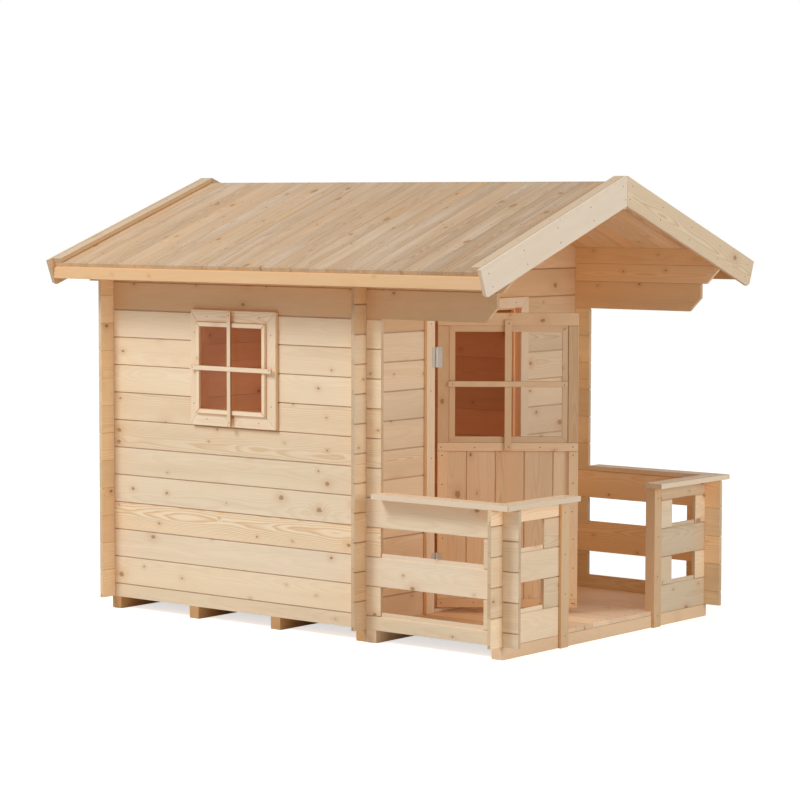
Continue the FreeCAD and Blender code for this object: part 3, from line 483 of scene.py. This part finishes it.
CLEAR_BENDING = 1.47
CLEAR_SHARE = 0.06

zinc = plain("zinc", (0.60, 0.57, 0.51), 0.85, 0.5)
nail_steel = plain("nail_steel", (0.13, 0.10, 0.075), 0.6, 0.6)
clear = plain("clear_pane", (0.95, 0.97, 0.96), 0.0, 0.04)
sheet = clear.node_tree.nodes["Principled BSDF"]
sheet.inputs["Transmission Weight"].default_value = 1.0
sheet.inputs["IOR"].default_value = CLEAR_BENDING
sheet.inputs["Alpha"].default_value = CLEAR_SHARE
print("zinc, nail steel, clear sheet")

# %% [markdown]
# Most pieces lie square to the room, but the roof boards lie on a slope, and the boards of the door
# stand turned with the open leaf. A box round such a board says nothing about its length and width.
# So each piece's turn is worked out from the roof's rise and run or from the door's hinge, and taken
# back before its boards are measured.

# %% Which way each piece lies
ROOF_RISE, ROOF_RUN = 0.252, 0.682
ROOF_SLOPE = math.atan2(ROOF_RISE, ROOF_RUN)
ON_THE_SLOPE = ("roof_boards", "verge", "bargeboard")
DOOR_SWING = math.radians(frame["joints"][0]["range_deg"][0])
MOVING = set(frame["record"]["behaviour"]["bodies"]["door"])


def lie(name):
    """Turn of a piece: the roof's slope, the open door or none."""
    if any(word in name for word in ON_THE_SLOPE):
        side = -1 if "left" in name else 1
        return Matrix.Rotation(side * ROOF_SLOPE, 3, "Y")
    if name in MOVING:
        return Matrix.Rotation(DOOR_SWING, 3, "Z")
    return Matrix.Identity(3)


print(f"roof slope {math.degrees(ROOF_SLOPE):.1f} degrees, door {math.degrees(DOOR_SWING):.0f} degrees")

# %% [markdown]
# A piece such as one side of the roof holds several boards, and each of them was sawn from another
# stem. They could have been built one by one, but it is as easy to find them: from any corner, follow
# the edges until no new corner comes up, and that is one board. Its box then gives its middle and
# which way its length, width and thickness run. Short blocks and notched boards can be wider than
# they are long, so for those the lengthwise direction is given.

# %% Boards of a piece
SAME_PLACE = 0.00002
LENGTHWISE = {"return_stubs": 0, "side_stubs": 1, "front_gable_boards": 0, "back_gable_boards": 0,
              "door_planks": 2, "front_head_boards": 0, "left_window_boards": 1}


def opened(name):
    """A piece's mesh, ready for work, with its loose triangles joined up."""
    bm = bmesh.new()
    bm.from_mesh(NODES[name].data)
    bmesh.ops.remove_doubles(bm, verts=bm.verts, dist=SAME_PLACE)
    return bm


def separate_boards(bm):
    """Groups of vertices that hang together, in a steady order."""
    waiting = set(bm.verts)
    groups = []
    while waiting:
        group, edge_of_group = set(), [waiting.pop()]
        while edge_of_group:
            vert = edge_of_group.pop()
            group.add(vert)
            for edge in vert.link_edges:
                other = edge.other_vert(vert)
                if other in waiting:
                    waiting.discard(other)
                    edge_of_group.append(other)
        groups.append(group)
    return sorted(groups, key=lambda group: tuple(
        round(sum(vert.co[axis] for vert in group) / len(group), 3) for axis in (2, 1, 0)))


def box_of(spots):
    """Lowest and highest corner of a group of places."""
    return (Vector(min(spot[axis] for spot in spots) for axis in range(3)),
            Vector(max(spot[axis] for spot in spots) for axis in range(3)))


def measure(group, turned, name):
    """Centre and extent of a board and its axes in the order length, width, thickness."""
    low, high = box_of([turned @ vert.co for vert in group])
    extent = high - low
    order = sorted(range(3), key=lambda axis: -extent[axis])
    if name in LENGTHWISE:
        order.remove(LENGTHWISE[name])
        order.insert(0, LENGTHWISE[name])
    return (low + high) / 2, extent, order


wall_boards = opened("left_wall_boards")
print(f"left wall: {len(separate_boards(wall_boards))} full boards")
wall_boards.free()

# %% [markdown]
# A joint between two boards looks dark, because little light gets into it. The render would work that out for a
# deep gap, but not for one as shallow as these. So every narrow face with another board close in front of it is
# marked, and comes out darker: painted shade. To know the boards close by, the box and the surface of every board
# are collected first.

# %% Neighbours of each board
NEAR = 0.005
NARROW = 0.009
SAME_BOX = 0.001
HALFWAY = 0.5
OPEN_JOINT = 0.2


def solids_of(name):
    """Box and surface of each separate board in a piece."""
    bm = opened(name)
    found = []
    for group in separate_boards(bm):
        verts = list(group)
        place = {vert: index for index, vert in enumerate(verts)}
        around = {face for vert in verts for face in vert.link_faces}
        corners = [tuple(place[vert] for vert in face.verts) for face in around]
        spots = [vert.co.copy() for vert in verts]
        found.append((*box_of(spots), BVHTree.FromPolygons(spots, corners)))
    bm.free()
    return found


def neighbours(low, high):
    """Surfaces of the other boards close to a board's box."""
    near = []
    for other_low, other_high, surface in SOLIDS:
        if (other_low - low).length < SAME_BOX and (other_high - high).length < SAME_BOX:
            continue
        if all(other_low[axis] < high[axis] + NEAR and other_high[axis] > low[axis] - NEAR
               for axis in range(3)):
            near.append(surface)
    return near


def joint_shade(face, facing, order, near):
    """Painted shade of a face: 1 for a narrow face in a joint, a little for one that looks out of it, or else 0.
    """
    longest = max(edge.calc_length() for edge in face.edges)
    if abs(facing[order[0]]) >= HALFWAY or face.calc_area() >= NARROW * longest:
        return 0.0
    middle = face.calc_center_median()
    if all(surface.find_nearest(middle, NEAR)[0] is None for surface in near):
        return 0.0
    return OPEN_JOINT if abs(facing[order[2]]) > HALFWAY else 1.0


SOLIDS = [solid for name in sorted(NODES) for solid in solids_of(name)]
print(f"{len(SOLIDS)} separate boards and fittings")

# %% [markdown]
# Wood inside the cabin looks redder than outside, because the light there has gone from board to board. The base
# colour itself stays the same on a real board, but faces that look into the room carry a warmer one here: painted
# light. They are found by their place: a step off the face leads into the room under the roof, or into the
# window's box behind the pane. A wall board that runs on outside is cut where it leaves the room, so that no face
# has both colours.

# %% Faces that look into the cabin
X, Y, Z = Vector((1, 0, 0)), Vector((0, 1, 0)), Vector((0, 0, 1))
CABIN_LOW, CABIN_HIGH = Vector((-0.684, -0.381, 0.060)), Vector((0.684, 0.966, 1.760))
WINDOW_LOW, WINDOW_HIGH = Vector((-0.709, 0.110, 0.850)), Vector((-0.650, 0.470, 1.202))
ROOF_UNDERSIDE = 1.757
STEP_OFF = 0.004
CUT_WIDTH = 0.00001


def between(low, spot, high):
    """Whether a place lies in a box."""
    return all(low[axis] < spot[axis] < high[axis] for axis in range(3))


def looks_in(face):
    """Whether a face looks into the room under the roof, or into the window behind its pane."""
    spot = face.calc_center_median() + STEP_OFF * face.normal
    if spot.z > ROOF_UNDERSIDE - abs(spot.x) * ROOF_RISE / ROOF_RUN:
        return False
    return between(CABIN_LOW, spot, CABIN_HIGH) or (
        abs(face.normal.x) < HALFWAY and between(WINDOW_LOW, spot, WINDOW_HIGH))


def split_at_walls(bm):
    """Cut long faces where they pass from the room to the outside."""
    for axis, low, high in ((X, CABIN_LOW.x, CABIN_HIGH.x), (Y, CABIN_LOW.y, CABIN_HIGH.y)):
        for place in (low, high):
            bmesh.ops.bisect_plane(bm, geom=bm.verts[:] + bm.edges[:] + bm.faces[:], dist=CUT_WIDTH,
                                   plane_co=place * axis, plane_no=axis)


print(f"room of {CABIN_HIGH.x - CABIN_LOW.x:.2f} by {CABIN_HIGH.y - CABIN_LOW.y:.2f} m")

# %% [markdown]
# Each face gets three marks. The first is 1 on end grain, which swallows more light. Where it is below zero it is
# painted light: it makes a face paler, for two places that get light thrown back from the porch floor, the
# undersides of the roof boards and the doorway's right cheek. The ends of roof and floor boards are only slightly
# browner than their faces. The second mark is the joint's painted shade, and the third is the painted warm light
# of a face that looks into the cabin, weaker on the floor, which also gets light through the door.

# %% Marks on each face
SLOT_OF = {row["node"]: row["material_slot"] for row in frame["record"]["subparts"]}
END_MARK = {"floor_pine": 0.2, "roof_pine": 0.5}
# Painted light: roof undersides and the doorway's right cheek come out paler, for light thrown up from the porch
# floor.
UNDER_ROOF_PAINTED_LIGHT = -2.2
DOORWAY = {"door_casing", "door_lining", "door_inner_casing"}
DOORWAY_RIGHT = 0.2
RIGHT_CHEEK_PAINTED_LIGHT = Vector((-1.5, 0, 0.5))
FLOOR_INSIDE = 0.4
MOSTLY, SQUARELY = 0.7, 0.8


def marks_of(name, face, facing, centre, order, near):
    """End grain or, below zero, painted light; then the joint's painted shade and the cabin's painted light."""
    slot = SLOT_OF[name]
    end = float(abs(facing[order[0]]) > SQUARELY)
    inside = float(looks_in(face))
    if end and slot in END_MARK:
        return Vector((END_MARK[slot], 0, 0))
    if slot == "roof_pine" and facing.z < -MOSTLY:
        return Vector((UNDER_ROOF_PAINTED_LIGHT, 0, inside))
    if name in DOORWAY and facing.x < -MOSTLY and centre.x > DOORWAY_RIGHT:
        return RIGHT_CHEEK_PAINTED_LIGHT
    if slot == "floor_pine":
        inside *= FLOOR_INSIDE
    return Vector((end, joint_shade(face, facing, order, near), inside))


print(f"{sum(slot in WOODS for slot in SLOT_OF.values())} of {len(SLOT_OF)} pieces are wooden")

# %% [markdown]
# Planed boards have their sharp edges eased, by about a millimetre, and it is the bright line along
# these edges that makes a board look real. The bevel could be a live modifier, but one made in the
# mesh lets the next steps work on the finished faces. Only edges that lie on a board's outer faces
# or ends are eased. Tongues and grooves are hidden and stay as they are.

# %% Eased edges
EASED = {"wall_pine": 0.0008, "trim_pine": 0.0014, "roof_pine": 0.0009, "floor_pine": 0.0010}
SHARP = math.radians(30)
SHORTEST = 3
SKIN = 0.0002


def ease_edges(bm, turned, name):
    """Bevel the sharp edges on each board's outer faces and ends."""
    width = EASED[SLOT_OF[name]]
    for group in separate_boards(bm):
        centre, extent, order = measure(group, turned, name)
        edges = set()
        for edge in {edge for vert in group for edge in vert.link_edges}:
            if len(edge.link_faces) != 2 or not edge.is_convex or edge.calc_length() < SHORTEST * width:
                continue
            if edge.calc_face_angle(0) < SHARP:
                continue
            offs = [turned @ end.co - centre for end in edge.verts]
            for axis in (order[0], order[2]):
                if min(abs(off[axis]) for off in offs) > extent[axis] / 2 - SKIN:
                    edges.add(edge)
        bmesh.ops.bevel(bm, geom=list(edges), offset=width, offset_type="OFFSET", segments=2,
                        profile=0.5, affect="EDGES", clamp_overlap=True, material=-1)


print("edges eased by", ", ".join(f"{1000 * width:.1f}" for width in EASED.values()), "mm")

# %% [markdown]
# No two boards are alike. Each one draws how near the pith was, which sets how strong its flame is, on which side
# it lay, and a small change in tone and warmth. All of it could be left to chance, but boards that are put up
# together often come from one bundle. So groups of boards have a tone and a warmth of their own, listed below, and
# these also carry painted shade and painted light: the joists, the door, the gable, the head boards, the posts and
# the brackets come out darker and warmer where they stand in shade, and the doorway's lining and the right rail
# come out paler. The roof gets paler towards the back, which is painted light. Two boards that catch the eye have
# a strong flame for certain.

# %% Character of each board
SPREAD = {"wall_pine": 0.045, "trim_pine": 0.03, "roof_pine": 0.028, "floor_pine": 0.05}
# Tone and warmth by the first of these words that is in a piece's name; partly each group's own tone, partly
# painted shade and painted light.
LOOKS_AND_PAINTED_SHADE = {"cabin_joists": (-0.12, 0.95), "porch_joists": (0.05, 0.0), "porch_floor": (0.06, -0.06),
         "door_upper": (-0.15, 0.52), "door_top": (-0.02, 0.48), "door_glazing": (-0.10, 0.40),
         "door_bars": (-0.05, 0.34), "window_casing": (0.06, -0.06), "window_frame": (0.08, -0.08),
         "door_planks": (0.03, 0.30), "door_lower": (0.03, 0.30),
         "door_lining": (0.20, 0.45), "door_inner": (0.20, 0.45), "front_gable": (0.04, 0.42),
         "front_head": (-0.08, 0.52), "front_right": (-0.05, 0.05), "back_wall": (0.12, 0.0),
         "front_cap": (0.0, -0.15), "side_cap": (0.02, -0.26), "post": (-0.08, 0.52),
         "left_return": (0.11, 0.0), "right_return": (-0.15, 0.0), "fascias": (0.0, 0.70),
         "verge": (-0.13, 0.25), "left_roof": (-0.02, 0.06), "rear_left_barge": (-0.12, 0.20),
         "front_left_barge": (0.02, -0.40), "right_bracket": (0.03, 0.50),
         "left_bracket": (-0.04, 0.62), "right_wall_plates": (0.09, 0.38),
         "left_wall_plates": (0.02, 0.48), "right_rail": (0.16, 0.21), "left_rail": (-0.02, -0.20)}
PLAIN_LOOK = (0.0, 0.0)
STRONG_BOARDS = {("left_wall_boards", 1), ("front_right_bargeboard", 0)}
STRONG_HEART, STRONG_DEPTH, STRONG_ASIDE, STRONG_TONE, STRONG_CONTRAST = 0.97, 0.042, 0.3, 0.06, 1.7
PITH_ASIDE, PITH_FARTHEST, PITH_NEARER = 0.05, 0.10, 0.085
LEAST_CONTRAST, HEART_CONTRAST = 0.35, 1.4
WARMTH_SPREAD = 0.07
# Painted light: roof boards get paler towards the back.
ROOF_PAINTED_LIGHT = 0.07
chance = random.Random(11)


def character(name, index, centre):
    """One board's pith and seed, and its tone, contrast and warmth, with the painted shade and painted light of
    its group.
    """
    slot = SLOT_OF[name]
    tone, warmth = next((look for part, look in LOOKS_AND_PAINTED_SHADE.items() if part in name), PLAIN_LOOK)
    strong = (name, index) in STRONG_BOARDS
    heart = STRONG_HEART if strong else chance.random() ** 3
    side = chance.choice((-1, 1))
    aside = chance.uniform(-PITH_ASIDE, PITH_ASIDE) * (STRONG_ASIDE if strong else 1.0)
    deep = STRONG_DEPTH if strong else PITH_FARTHEST - PITH_NEARER * heart
    stem = Vector((aside, side * deep, chance.random()))
    # On the roof this share is painted light; on a strong board it is the board's own paler tone.
    fade = ROOF_PAINTED_LIGHT * centre.y if slot == "roof_pine" else STRONG_TONE * strong
    tone = chance.gauss(tone, SPREAD[slot]) + fade
    contrast = LEAST_CONTRAST + (STRONG_CONTRAST if strong else HEART_CONTRAST) * heart
    return stem, Vector((tone, contrast, warmth + abs(chance.gauss(0, WARMTH_SPREAD))))


print(f"{len(LOOKS_AND_PAINTED_SHADE)} groups of boards with a look of their own")

# %% [markdown]
# Now every wooden piece is made: a copy of the construction's solid, with its flat faces joined up,
# its edges eased and its boards cut at the walls. It could be one mesh for the whole house, but a
# piece each keeps the names, the moving door and the way it would be put together. Each vertex
# carries its place in the board, the board's pith and its look, and each face carries its marks. The
# grain reads them all.

# %% Dress each wooden piece
FLAT = math.radians(1)


def finished(bm, name, material):
    """An object of the scene, made from a worked mesh."""
    mesh = bpy.data.meshes.new(name)
    bm.to_mesh(mesh)
    bm.free()
    mesh.materials.append(material)
    return add_object(name, mesh)


def dress(name):
    """A finished copy of one wooden piece."""
    slot = SLOT_OF[name]
    bm = opened(name)
    bmesh.ops.dissolve_limit(bm, angle_limit=FLAT, verts=bm.verts, edges=bm.edges)
    turned = lie(name).transposed()
    ease_edges(bm, turned, name)
    if name not in MOVING:
        split_at_walls(bm)
    bm.normal_update()
    grain = bm.verts.layers.float_vector.new("grain")
    pith = bm.verts.layers.float_vector.new("pith")
    board = bm.verts.layers.float_vector.new("board")
    marks = bm.faces.layers.float_vector.new("face")
    for index, group in enumerate(separate_boards(bm)):
        centre, extent, order = measure(group, turned, name)
        near = neighbours(*box_of([vert.co for vert in group]))
        stem, look = character(name, index, centre)
        for vert in group:
            spot = turned @ vert.co - centre
            vert[grain] = Vector(spot[axis] for axis in order)
            vert[pith] = stem
            vert[board] = look
        for face in {face for vert in group for face in vert.link_faces}:
            face[marks] = marks_of(name, face, turned @ face.normal, centre, order, near)
    piece = finished(bm, name + "_wood", WOODS[slot])
    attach(piece, "door" if name in MOVING else "house")
    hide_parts(name)
    return len(piece.data.polygons)


faces = {name: dress(name) for name in sorted(NODES) if SLOT_OF[name] in WOODS}
print(f"{len(faces)} wooden pieces dressed, {sum(faces.values())} faces")

# %% [markdown]
# The hinges and the panes keep the construction's own shapes. They could be copied like the boards,
# but thin plates, pins and flat sheets have nothing to ease, so they only get their materials.

# %% Hinges and panes
FITTINGS = {"zinc": zinc, "clear_pane": clear}

for name, node in NODES.items():
    if SLOT_OF[name] in FITTINGS:
        node.data.materials.clear()
        node.data.materials.append(FITTINGS[SLOT_OF[name]])
print("hinges in zinc, panes clear")

# %% [markdown]
# Nails hold the thin boards, and from a few metres away they are the small dark dots at every board's
# end. Each one is a short eight-sided disc, set a third of a millimetre proud of the wood. They are
# placed from each board's measured box: which way the nailed face looks, how far the outer nails lie
# from the ends, how far apart the others are and where they lie across the board.

# %% Nails
NAIL_RADIUS = 0.0027
NAIL_TOP_SHARE = 0.9
NAIL_PROUD = 0.0003
NAIL_DEPTH = 0.0012
NAIL_SIDES = 8
STRAY_ALONG, STRAY_ACROSS = 0.004, 0.003
MIDDLE, PAIR = (0.5,), (0.25, 0.75)
# Pieces, which way the nailed face looks, distance from the ends, spacing and places across. Without
# a spacing, there are nails at the ends only.
NAILED = [
    (("window_bars",), -X, 0.012, None, MIDDLE),
    (("window_casing",), -X, 0.090, 0.30, MIDDLE),
    (("door_casing",), -Y, 0.090, 0.28, MIDDLE),
    (("front_left_bargeboard", "front_right_bargeboard"), -Y, 0.045, 0.22, PAIR),
    (("left_verge_battens", "right_verge_battens"), Z, 0.06, 0.24, MIDDLE),
    (("left_side_cap", "right_side_cap"), Z, 0.05, 0.26, MIDDLE),
    (("left_front_cap", "right_front_cap"), Z, 0.05, 0.20, MIDDLE),
    (("porch_floor_boards",), Z, 0.022, None, (0.2, 0.8)),
    (("left_roof_boards", "right_roof_boards"), Z, 0.014, 0.21, PAIR),
    (("left_post", "right_post"), -Y, 0.045, 0.16, MIDDLE),
    (("door_bars",), -Y, 0.014, None, MIDDLE),
    (("door_lower_frame",), -Y, 0.018, 0.12, MIDDLE),
    (("door_planks",), Y, 0.018, None, PAIR),
]


def nail_places(name, facing, inset, spacing, across):
    """Places and directions of the nails in one piece's boards."""
    turn = lie(name)
    turned = turn.transposed()
    bm = opened(name)
    places = []
    for group in separate_boards(bm):
        centre, extent, order = measure(group, turned, name)
        order = [axis for axis in order if not facing[axis]]
        nailed_length = extent[order[0]] - 2 * inset
        steps = 1 if spacing is None else max(1, round(nailed_length / spacing))
        reach = sum(abs(facing[axis]) * extent[axis] for axis in range(3)) / 2
        for number in range(steps + 1):
            for share in across:
                spot = centre.copy()
                spot[order[0]] += inset - extent[order[0]] / 2 + nailed_length * number / steps
                spot[order[1]] += (share - 0.5) * extent[order[1]]
                spot[order[0]] += chance.uniform(-STRAY_ALONG, STRAY_ALONG)
                spot[order[1]] += chance.uniform(-STRAY_ACROSS, STRAY_ACROSS)
                places.append((turn @ (spot + reach * facing), turn @ facing))
    bm.free()
    return places


def nail_piece(label, mover):
    """All the nails of one moving part as one piece."""
    bm = bmesh.new()
    count = 0
    for names, *layout in NAILED:
        for name in names:
            if (name in MOVING) != (mover == "door"):
                continue
            for spot, facing in nail_places(name, *layout):
                seat = Matrix.Translation(spot + (NAIL_PROUD - NAIL_DEPTH / 2) * facing)
                seat = seat @ facing.to_track_quat("Z", "Y").to_matrix().to_4x4()
                bmesh.ops.create_cone(bm, cap_ends=True, segments=NAIL_SIDES, radius1=NAIL_RADIUS,
                                      radius2=NAIL_RADIUS * NAIL_TOP_SHARE, depth=NAIL_DEPTH,
                                      matrix=seat)
                count += 1
    piece = finished(bm, label, nail_steel)
    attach(piece, mover)
    return count


house_nails = nail_piece("nails_house", "house")
door_nails = nail_piece("nails_door", "door")
print(f"{house_nails} nails in the house, {door_nails} in the door")

# %% [markdown]
# A pale, plain floor takes the soft shadow. A photographer hangs a roll of paper for it; here one
# large flat square is enough. It is lit like anything else, but for the camera it also glows a
# little, so that it comes out as light as the backdrop where no shadow falls.

# %% Floor
FLOOR_HALF = 40.0
FLOOR_SHADE = 0.80
FLOOR_ROUGHNESS = 0.9
FLOOR_GLOW = 0.66

square = bmesh.new()
bmesh.ops.create_grid(square, x_segments=1, y_segments=1, size=FLOOR_HALF)
pale = plain("pale_floor", (FLOOR_SHADE,) * 3, 0.0, FLOOR_ROUGHNESS)
paper = pale.node_tree.nodes["Principled BSDF"]
paper.inputs["Specular IOR Level"].default_value = 0.0
paper.inputs["Emission Color"].default_value = WHITE
ray = pale.node_tree.nodes.new("ShaderNodeLightPath").outputs
glow = maths(pale.node_tree, "MULTIPLY", ray["Is Camera Ray"], FLOOR_GLOW)
feed(pale.node_tree, paper.inputs["Emission Strength"], glow)
floor = finished(square, "studio_floor", pale)
print(f"floor {2 * FLOOR_HALF:.0f} m wide")
